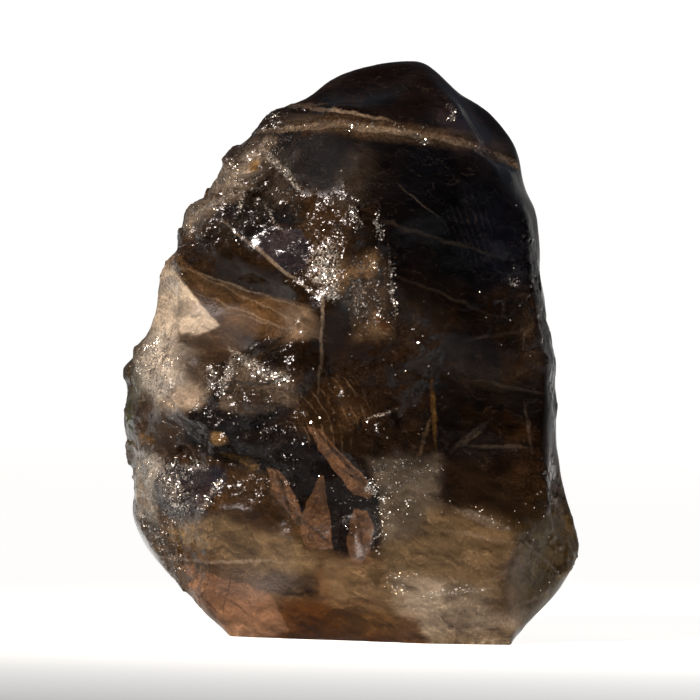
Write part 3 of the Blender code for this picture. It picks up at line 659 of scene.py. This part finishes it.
def spot_share(x, z, middle, half_sizes, turn, soft):
    """1 in the middle of a turned oval of the front, and 0 outside it."""
    angle = math.radians(turn)
    along = (x - middle[0]) * math.cos(angle) + (z - middle[1]) * math.sin(angle)
    across = (z - middle[1]) * math.cos(angle) - (x - middle[0]) * math.sin(angle)
    away = np.hypot(along / half_sizes[0], across / half_sizes[1])
    return 1.0 - soft_step(away, 1.0 - soft, 1.0 + soft)


def laid_over(tints, share, colour):
    share = share[:, None]
    return tints * (1.0 - share) + np.array(colour) * share


def wandering(places, size):
    """A smooth random vector for each place, which turns within the size in MM."""
    return np.array([noise.noise_vector(Vector(p) / size) for p in places])


def front_share(places):
    """1 on the front of the stone, and 0 behind it."""
    behind, before = FRONT_FADE
    return 1.0 - soft_step(places[:, 1], before, behind)


def smoke_tints(places, colours):
    """The smoke's colour on the skin, by depth of smoke and what shines through, with painted light and
    shade.
    """
    wander = wandering(places, 4.5)
    finer = wandering(places, 1.3)
    clouds = np.array([noise.fractal(Vector(p) / 7.0, 0.9, 2.1, 4) for p in places])
    bent = places + wander * 1.1 + finer * 0.35
    crisp = places + wander * 0.35 + finer * 0.22
    tints = np.tile(np.array(colours.black_smoke_and_shadow), (len(places), 1))
    tints = laid_over(tints, soft_step(clouds, -0.05, 0.45), colours.deep_smoke_and_shade)
    for _, centre, reach, name, share in CLEARINGS:
        away = np.linalg.norm(bent - np.array(centre), axis=1) / reach
        found = (1.0 - soft_step(away, 0.45, 1.15)) * share
        tints = laid_over(tints, found, getattr(colours, name))
    on_front = front_share(bent)
    for _, corners, soft, name, share in FRONT_FACETS:
        x, _, z = (crisp if soft < 0.5 else bent).T
        found = soft_step(depth_inside(x, z, corners), -soft, soft) * on_front * share
        tints = laid_over(tints, found, getattr(colours, name))
    x, _, z = crisp.T
    for _, middle, half_sizes, turn, soft, name, share in FRONT_SPOTS:
        found = spot_share(x, z, middle, half_sizes, turn, soft) * on_front * share
        tints = laid_over(tints, found, getattr(colours, name))
    return tints


def flake_shares(places, hackles):
    """How thickly the silvery flakes lie at each place of the skin."""
    clumps = np.array([noise.noise(Vector(p) / 0.8) for p in places])
    bent = places + wandering(places, 1.1) * 0.45
    x, z = bent[:, 0], bent[:, 2]
    on_front = front_share(bent)
    shares = 0.007 * hackles
    for _, middle, half_sizes, turn, share in FLAKES:
        found = spot_share(x, z, middle, half_sizes, turn, 0.5) * on_front * share
        shares = np.maximum(shares, found)
    return shares * soft_step(clumps, -0.45, 0.25)


def store(mesh, name, kind, values):
    """Writes one value for each vertex into an attribute of the mesh."""
    field = "vector" if kind == "FLOAT_VECTOR" else "value"
    mesh.attributes.new(name, kind, "POINT").data.foreach_set(field, np.ravel(values))


def even_skin(settings):
    """A copy of the solid's skin on a fine, even grid."""
    bm = bmesh.new()
    bm.from_mesh(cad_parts[SOLID].data)
    bmesh.ops.remove_doubles(bm, verts=bm.verts, dist=0.001 * MM)
    piece = new_piece("quartz_crystal", bm)
    step = piece.modifiers.new("even skin", "REMESH")
    step.mode = "VOXEL"
    step.voxel_size = settings.grid
    keep_evaluated_mesh(piece)
    return piece


def smoothed(bm, verts, rounds):
    for _ in range(rounds):
        bmesh.ops.smooth_vert(
            bm, verts=verts, factor=0.5, use_axis_x=True, use_axis_y=True, use_axis_z=True
        )


def crystal_skin(settings, colours):
    """The solid's skin with its chips, ripples and cracks, and what the finish needs of it."""
    piece = even_skin(settings)
    bm = bmesh.new()
    bm.from_mesh(piece.data)
    hackles = [hackle(v.co / MM) for v in bm.verts]
    base = 0.4 * settings.grid
    standing = [v for v in bm.verts if v.co.z > base]
    glassy = [v for v in standing if hackles[v.index] < POLISHED_BELOW]
    worn = [
        v for v in standing
        if max(near(v.co / MM, centre, reach) for _, centre, reach in WORN_PATCHES) > WORN_PAST
    ]
    smoothed(bm, standing, settings.hackly_rounds)
    smoothed(bm, glassy, settings.polish_rounds)
    smoothed(bm, worn, settings.wearing_rounds)
    bm.normal_update()
    places = [v.co / MM for v in bm.verts]
    for v, place, share in zip(bm.verts, places, hackles):
        broken = chips(place, BIG_CHIPS) + chips(place, SMALL_CHIPS)
        lift = broken * settings.chip_lean * (0.06 + 0.94 * share)
        lift += ripple_height(place) * (1.0 - 0.6 * share)
        if v.co.z > base:
            v.co += v.normal * (lift * MM - crack_share(place) * settings.crack_depth)
            v.co.z = max(v.co.z, base)
    bmesh.ops.recalc_face_normals(bm, faces=bm.faces)
    bm.to_mesh(piece.data)
    bm.free()
    piece.data.shade_smooth()
    piece.data.set_sharp_from_angle(angle=settings.sharp_angle)
    places = np.array(places)
    hackles = np.array(hackles)
    store(piece.data, "hackle", "FLOAT", hackles)
    store(piece.data, "flakes", "FLOAT", flake_shares(places, hackles))
    store(piece.data, "tint", "FLOAT_VECTOR", smoke_tints(places, colours))
    satin = [
        max(near(Vector(p), centre, reach) * rough for _, centre, reach, rough in SATIN_PATCHES)
        for p in places
    ]
    store(piece.data, "satin", "FLOAT", satin)
    return piece


# Half of each part of a random colour, taken off so that it points anywhere
HALVES = (0.5, 0.5, 0.5)


class Recipe:
    """A material, and short calls that add nodes to its tree."""

    def __init__(self, name):
        self.material = bpy.data.materials.new(name)
        self.material.use_nodes = True
        self.tree = self.material.node_tree
        self.skin = self.tree.nodes["Principled BSDF"]
        self.out = self.tree.nodes["Material Output"]

    def feed(self, socket, value):
        """Links a socket to the value, or sets it, if the value is a plain one."""
        if isinstance(value, bpy.types.NodeSocket):
            self.tree.links.new(value, socket)
        elif socket.type == "RGBA" and len(value) == 3:
            socket.default_value = (*value, 1.0)
        else:
            socket.default_value = value

    def add(self, kind, fed, **settings):
        node = self.tree.nodes.new("ShaderNode" + kind)
        for name, value in settings.items():
            setattr(node, name, value)
        for socket, value in fed.items():
            self.feed(node.inputs[socket], value)
        return node

    def attribute(self, name, output):
        return self.add("Attribute", {}, attribute_name=name).outputs[output]

    def math(self, operation, a, b=0.0, c=0.0):
        return self.add("Math", {0: a, 1: b, 2: c}, operation=operation).outputs[0]

    def times(self, a, b):
        return self.math("MULTIPLY", a, b)

    def vector(self, operation, a, b):
        return self.add("VectorMath", {0: a, 1: b}, operation=operation).outputs[0]

    def scaled(self, a, factor):
        return self.add("VectorMath", {0: a, "Scale": factor}, operation="SCALE").outputs[0]

    def step(self, value, low, high, top=1.0):
        """0 below low and top above high, or the other way round, with a soft step between."""
        fed = {"Value": value, "From Min": low, "From Max": high, "To Max": top}
        return self.add("MapRange", fed, interpolation_type="SMOOTHSTEP").outputs[0]

    def span(self, value, low, high, to_low, to_high):
        """The value's span from low to high, laid evenly over another span."""
        fed = {"Value": value, "From Min": low, "From Max": high, "To Min": to_low, "To Max": to_high}
        return self.add("MapRange", fed).outputs[0]

    def tone(self, cell_colour):
        """One random number for each cell."""
        return self.add("SeparateColor", {0: cell_colour}).outputs[0]

    def blend(self, share, a, b):
        return self.add("Mix", {0: share, 2: a, 3: b}, data_type="FLOAT").outputs[0]

    def mix(self, share, a, b):
        return self.add("Mix", {0: share, 6: a, 7: b}, data_type="RGBA").outputs[2]

    def noise(self, at, size, detail, output="Fac"):
        fed = {"Vector": at, "Scale": 1.0 / size, "Detail": detail, "Roughness": 0.55}
        return self.add("TexNoise", fed).outputs[output]

    def cells(self, at, size):
        """A random colour for each cell."""
        return self.add("TexVoronoi", {"Vector": at, "Scale": 1.0 / size}).outputs["Color"]

    def along(self, flat, direction, start, length):
        """How far a place of the front lies from a start along a direction, in lengths."""
        axis = Vector((math.cos(direction), 0.0, math.sin(direction))) / length
        axis.y = -axis.x * start[0] - axis.z * start[1]
        dot = self.add("VectorMath", {0: flat, 1: axis}, operation="DOT_PRODUCT")
        return dot.outputs["Value"]

    def patch(self, flat, middle, half_sizes, turn, soft, share=1.0):
        """The share in the middle of a turned oval of the front, and 0 outside it."""
        angle = math.radians(turn)
        lengthwise = self.along(flat, angle, middle, half_sizes[0])
        across = self.along(flat, angle + math.pi / 2, middle, half_sizes[1])
        squares = self.math("MULTIPLY", lengthwise, lengthwise)
        squares = self.math("MULTIPLY_ADD", across, across, squares)
        return self.step(squares, (1.0 + soft) ** 2, (1.0 - soft) ** 2, share)

    def facet(self, flat, corners, soft, share):
        """The share inside a convex outline of the front, and 0 outside it."""
        depth = None
        for (x0, z0), (x1, z1) in zip(corners, corners[1:] + corners[:1]):
            inward = math.atan2(x0 - x1, z1 - z0)
            side = self.along(flat, inward, (x0, z0), 1.0)
            depth = side if depth is None else self.math("MINIMUM", depth, side)
        return self.step(depth, -soft, soft, share)


def smoky_quartz(colours, glass):
    """Clear quartz full of brown smoke, with veils, stains, cracks, silvery flakes and painted light
    and shade.
    """
    r = Recipe("smoky_quartz")
    coordinates = r.add("TexCoord", {}).outputs["Object"]
    place = r.scaled(coordinates, 1.0 / MM)
    hackly = r.attribute("hackle", "Fac")
    flaky = r.attribute("flakes", "Fac")
    satin = r.attribute("satin", "Fac")
    tint = r.attribute("tint", "Vector")

    sway = r.vector("SUBTRACT", r.noise(place, SWAY, 2.0, "Color"), HALVES)
    bent = r.vector("ADD", place, r.scaled(sway, 1.6))
    wisps = r.noise(r.vector("MULTIPLY", bent, (0.45, 0.8, 1.5)), WISPS, 4.0)
    along = r.add("Mapping", {"Vector": bent, "Rotation": (0.0, math.radians(-28), 0.0)})
    streaks = r.noise(r.vector("MULTIPLY", along.outputs[0], (0.25, 1.0, 2.2)), STREAKS, 2.0)
    grain = r.noise(place, GRAIN, 2.0)
    planes = r.cells(r.vector("MULTIPLY", bent, (0.8, 1.0, 1.3)), PLANES)

    depth = r.add("SeparateXYZ", {0: place}).outputs["Y"]
    on_front = r.step(depth, *FRONT_FADE)
    slight = r.vector("ADD", place, r.scaled(sway, 0.9))
    flat = r.vector("ADD", r.vector("MULTIPLY", slight, (1.0, 0.0, 1.0)), (0.0, 1.0, 0.0))
    for _, corners, soft, name, share in SHARP_FACETS:
        mask = r.times(r.facet(flat, corners, soft, share), on_front)
        tint = r.mix(mask, tint, getattr(colours, name))

    hackly_tone = r.span(r.tone(planes), 0.0, 1.0, 0.5, 1.6)
    cloudy = r.span(wisps, 0.25, 0.75, 0.0, 1.2)
    glassy_tone = r.math("ADD", cloudy, r.span(streaks, 0.3, 0.7, 0.1, 0.7))
    inner = r.cells(r.vector("MULTIPLY", bent, (0.8, 0.5, 1.2)), INNER_CELLS)
    glassy_tone = r.times(glassy_tone, r.span(r.tone(inner), 0.0, 1.0, 0.7, 1.3))
    tone = r.blend(hackly, glassy_tone, hackly_tone)
    specks = r.times(r.span(grain, 0.3, 0.7, -1.0, 1.0), r.span(hackly, 0.0, 0.7, 0.16, 0.5))
    tone = r.math("MULTIPLY_ADD", tone, specks, tone)
    tint = r.scaled(tint, tone)
    # Painted sparkle: fine specks where the crumbs of the hackly break catch the light.
    crumb_sparkle = r.step(r.noise(place, SPARKLE_SPECKS, 1.0), 0.5, 0.72)
    crumb_sparkle = r.times(crumb_sparkle, r.span(wisps, 0.3, 0.6, 0.0, 1.0))
    crumb_sparkle = r.times(crumb_sparkle, r.span(hackly, 0.2, 0.9, 0.03, 0.6))
    crumbs = r.vector("ADD", r.scaled(tint, 2.2), colours.crumb_sparkle)
    tint = r.mix(crumb_sparkle, tint, crumbs)

    hairs = r.noise(r.vector("MULTIPLY", bent, (0.6, 1.0, 1.7)), HAIRS, 3.0)
    hair = r.step(r.math("ABSOLUTE", r.math("SUBTRACT", hairs, 0.5)), 0.014, 0.001)
    hair = r.times(hair, r.span(grain, 0.4, 0.6, 0.2, 0.7))
    paler = r.vector("ADD", r.scaled(tint, 1.9), (0.026, 0.022, 0.018))
    tint = r.mix(hair, tint, paler)

    broken = r.times(r.span(grain, 0.38, 0.6, 0.4, 1.0), r.span(wisps, 0.35, 0.6, 0.4, 1.0))
    crumbled = r.times(broken, r.step(r.noise(place, CRUMB_GAPS, 1.0), 0.46, 0.58))
    masks = {}
    for _, middle, half_sizes, turn, name, share in FRONT_LINES:
        mask = r.patch(flat, middle, half_sizes, turn, 0.8, share)
        masks[name] = r.math("MAXIMUM", masks[name], mask) if name in masks else mask
    # The silver lines are painted glints, and they are broken up more finely than the others.
    for name, mask in masks.items():
        gaps = r.times(crumbled if name == "silver_flake_and_glint" else broken, on_front)
        tint = r.mix(r.times(mask, gaps), tint, getattr(colours, name))

    # Golden rings: the shell fracture's ripples, with a painted internal reflection in them.
    middle, spacing = GOLDEN_RINGS
    from_middle = r.vector("SUBTRACT", slight, (middle[0], 0.0, middle[1]))
    from_middle = r.vector("MULTIPLY", from_middle, (1.0 / spacing, 0.0, 1.0 / spacing))
    away = r.add("VectorMath", {0: from_middle}, operation="LENGTH").outputs["Value"]
    ring = r.step(r.math("PINGPONG", away, 0.5), 0.14, 0.02)
    ring = r.times(ring, r.patch(flat, *GOLDEN_PATCH, 0.5))
    ring = r.times(r.times(ring, on_front), r.span(wisps, 0.42, 0.6, 0.0, 0.8))
    tint = r.mix(ring, tint, colours.ochre_stain_and_reflection)

    middle, _, turn = SCRATCHES
    across = r.along(flat, math.radians(turn + 90), middle, SCRATCH_SPACING)
    scratch = r.step(r.math("PINGPONG", across, 0.5), 0.14, 0.02)
    scratch = r.times(scratch, r.patch(flat, *SCRATCHES, 0.5))
    scratch = r.times(r.times(scratch, on_front), r.span(wisps, 0.4, 0.6, 0.0, 0.3))
    tint = r.mix(scratch, tint, colours.grey_smoke)

    flake = r.cells(r.vector("ADD", place, r.scaled(sway, 0.5)), FLAKE)
    flake_parts = r.add("SeparateColor", {0: flake}).outputs
    silvery = r.math("LESS_THAN", flake_parts[0], flaky)
    # A flake's tint is its silvery colour at a random strength, partly a painted glint.
    shine = r.math("MULTIPLY_ADD", r.math("POWER", flake_parts[1], 1.6), 0.9, 0.1)
    shine = r.vector("MAXIMUM", r.scaled(tuple(colours.silver_flake_and_glint), shine), tint)
    tint = r.mix(silvery, tint, shine)

    lean = r.scaled(r.vector("SUBTRACT", planes, HALVES), 0.5)
    lean = r.scaled(lean, hackly)
    small = r.scaled(r.vector("SUBTRACT", flake, HALVES), 1.1)
    small = r.scaled(small, r.math("MAXIMUM", silvery, r.span(hackly, 0.4, 1.0, 0.0, 0.3)))
    outward = r.add("NewGeometry", {}).outputs["Normal"]
    tilted = r.vector("ADD", outward, r.vector("ADD", lean, small))
    facing = r.add("VectorMath", {0: tilted}, operation="NORMALIZE").outputs[0]

    relief = r.times(grain, r.math("MULTIPLY_ADD", satin, 0.35, 0.10))
    relief = r.math("ADD", relief, r.times(wisps, r.span(hackly, 0.0, 1.0, 0.25, 0.9)))
    fed = {"Strength": 0.6, "Distance": 0.25 * MM, "Height": relief, "Normal": facing}
    normal = r.add("Bump", fed).outputs[0]

    rough = r.math("MULTIPLY_ADD", hackly, 0.04, glass.glassy)
    rough = r.math("MAXIMUM", rough, satin)
    rough = r.blend(silvery, rough, 0.18)

    r.feed(r.skin.inputs["Base Color"], tint)
    r.feed(r.skin.inputs["Metallic"], r.times(silvery, 0.7))
    r.feed(r.skin.inputs["Roughness"], rough)
    r.feed(r.skin.inputs["Normal"], normal)
    r.feed(r.skin.inputs["IOR"], glass.ior)
    r.feed(r.skin.inputs["Specular Tint"], glass.gloss)
    r.feed(r.skin.inputs["Transmission Weight"], glass.transmission)
    smoke = r.add("VolumeAbsorption", {"Color": glass.absorbed, "Density": glass.density})
    r.feed(r.out.inputs["Volume"], smoke.outputs["Volume"])
    return r.material


def pale_paint(stage):
    """A softly lit pale sweep, which turns dark well in front of the stone to keep its face dark."""
    r = Recipe("pale_floor")
    at = r.scaled(r.add("TexCoord", {}).outputs["Object"], 1.0 / stage.floor_radius)
    parts = r.add("SeparateXYZ", {0: at}).outputs
    front = r.step(parts["Y"], *DARK_IN_FRONT)
    aside = r.step(r.math("ABSOLUTE", parts["X"]), *DARK_ASIDE, 0.85)
    dim = r.math("MAXIMUM", front, aside)
    paint = r.mix(dim, tuple(stage.floor_colour), tuple(stage.dark_paint))
    r.feed(r.skin.inputs["Base Color"], paint)
    r.feed(r.skin.inputs["Roughness"], 0.85)
    r.feed(r.skin.inputs["Specular IOR Level"], 0.0)
    r.feed(r.skin.inputs["Emission Color"], (1.0, 0.985, 0.965))
    r.feed(r.skin.inputs["Emission Strength"], r.span(dim, 0.0, 1.0, stage.floor_glow, stage.dark_glow))
    r.material.cycles.emission_sampling = "NONE"
    return r.material


def bowl_floor(radius, bend, height):
    """A round floor whose rim bends up into a wall: a profile turned round Z."""
    bm = bmesh.new()
    start = bm.verts.new((0.0, 0.0, 0.0))
    rim = bm.verts.new((radius, 0.0, 0.0))
    bm.edges.new((start, rim))
    turned = bmesh.ops.spin(
        bm,
        geom=[rim],
        cent=(radius, 0.0, bend),
        axis=(0.0, -1.0, 0.0),
        angle=math.radians(90),
        steps=12,
        use_merge=False,
    )
    top = [v for v in turned["geom_last"] if isinstance(v, bmesh.types.BMVert)]
    wall = bmesh.ops.extrude_vert_indiv(bm, verts=top)
    bmesh.ops.translate(bm, verts=wall["verts"], vec=(0.0, 0.0, height))
    bmesh.ops.spin(
        bm,
        geom=bm.verts[:] + bm.edges[:],
        cent=(0.0, 0.0, 0.0),
        axis=(0.0, 0.0, 1.0),
        angle=math.tau,
        steps=96,
        use_merge=True,
    )
    bmesh.ops.remove_doubles(bm, verts=bm.verts, dist=1e-5)
    bmesh.ops.recalc_face_normals(bm, faces=bm.faces)
    if sum(f.normal.z for f in bm.faces) < 0.0:
        bmesh.ops.reverse_faces(bm, faces=bm.faces)
    floor = new_piece("floor", bm)
    floor.data.shade_smooth()
    return floor


def spot_light(name, place, size, watts):
    """A lamp behind a snoot: it lights the stone and the floor beside it, and little else."""
    lamp = bpy.data.lights.new(name, "SPOT")
    lamp.shadow_soft_size = size / 2
    lamp.spot_size = LAMP_SPREAD
    lamp.spot_blend = 0.9
    lamp.energy = watts
    lamp.color = WARM
    stand = bpy.data.objects.new(name, lamp)
    stand.location = place
    stand.rotation_mode = "QUATERNION"
    stand.rotation_quaternion = (Vector(LAMP_AIM) - Vector(place)).to_track_quat("-Z", "Y")
    stand.visible_camera = False
    bpy.context.scene.collection.objects.link(stand)


def set_camera(stage):
    """Level with the middle of the stone, square to its front, and a little rolled."""
    aim = Vector(FRAME_MIDDLE) * MM
    lens = bpy.data.cameras.new("camera")
    lens.sensor_width = 36.0
    lens.lens = lens.sensor_width * stage.camera_distance / (FRAME_WIDTH * MM)
    lens.clip_start = 0.01
    lens.clip_end = 20.0
    camera = bpy.data.objects.new("camera", lens)
    camera.location = aim + Vector((0.0, -stage.camera_distance, 0.0))
    camera.rotation_euler = (math.radians(90), stage.camera_roll, 0.0)
    bpy.context.scene.collection.objects.link(camera)
    bpy.context.scene.camera = camera


class QUARTZ_OT_crystal(bpy.types.Operator):
    """Breaks the crystal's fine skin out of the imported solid, and gives it its finish."""

    bl_idname = "quartz.crystal"
    bl_label = "Smoky quartz crystal"

    def execute(self, context):
        scene = context.scene
        crystal = crystal_skin(scene.quartz_skin, scene.quartz_colours)
        crystal.data.materials.append(smoky_quartz(scene.quartz_colours, scene.quartz_glass))
        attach(crystal, "root")
        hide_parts(SOLID)
        return {"FINISHED"}


class QUARTZ_OT_stage(bpy.types.Operator):
    """Sets the pale floor, the studio lights, the world and the camera."""

    bl_idname = "quartz.stage"
    bl_label = "Studio stage"

    def execute(self, context):
        scene = context.scene
        stage = scene.quartz_stage
        floor = bowl_floor(stage.floor_radius, bend=0.25, height=0.2)
        floor.data.materials.append(pale_paint(stage))
        spot_light("key", KEY_PLACE, KEY_SIZE, stage.key_power)
        spot_light("rim", RIM_PLACE, RIM_SIZE, stage.rim_power)
        world = bpy.data.worlds.new("studio")
        world.use_nodes = True
        world.node_tree.nodes["Background"].inputs["Color"].default_value = (0.7, 0.8, 1.0, 1.0)
        world.node_tree.nodes["Background"].inputs["Strength"].default_value = stage.world_glow
        scene.world = world
        scene.view_settings.view_transform = "Standard"
        set_camera(stage)
        return {"FINISHED"}


class QUARTZ_PT_workshop(bpy.types.Panel):
    """Lists the steps and the settings."""

    bl_label = "Smoky quartz"
    bl_space_type = "VIEW_3D"
    bl_region_type = "UI"
    bl_category = "Quartz"

    def draw(self, context):
        layout = self.layout
        for settings, step in PANEL_ROWS:
            box = layout.box()
            for group in settings:
                for name in group.__annotations__:
                    box.prop(getattr(context.scene, SETTINGS[group]), name)
            box.operator(step.bl_idname)


SETTINGS = {
    BrokenSkin: "quartz_skin",
    SmokeColours: "quartz_colours",
    QuartzGlass: "quartz_glass",
    StudioStage: "quartz_stage",
}
PANEL_ROWS = [
    ((BrokenSkin, SmokeColours, QuartzGlass), QUARTZ_OT_crystal),
    ((StudioStage,), QUARTZ_OT_stage),
]
CLASSES = [*SETTINGS, *(step for _, step in PANEL_ROWS), QUARTZ_PT_workshop]


def register():
    for made in CLASSES:
        bpy.utils.register_class(made)
    for group, name in SETTINGS.items():
        setattr(bpy.types.Scene, name, PointerProperty(type=group))


def unregister():
    for name in SETTINGS.values():
        delattr(bpy.types.Scene, name)
    for made in reversed(CLASSES):
        bpy.utils.unregister_class(made)


def main():
    register()
    bpy.ops.quartz.crystal()
    bpy.ops.quartz.stage()


if __name__ == "__main__":
    main()
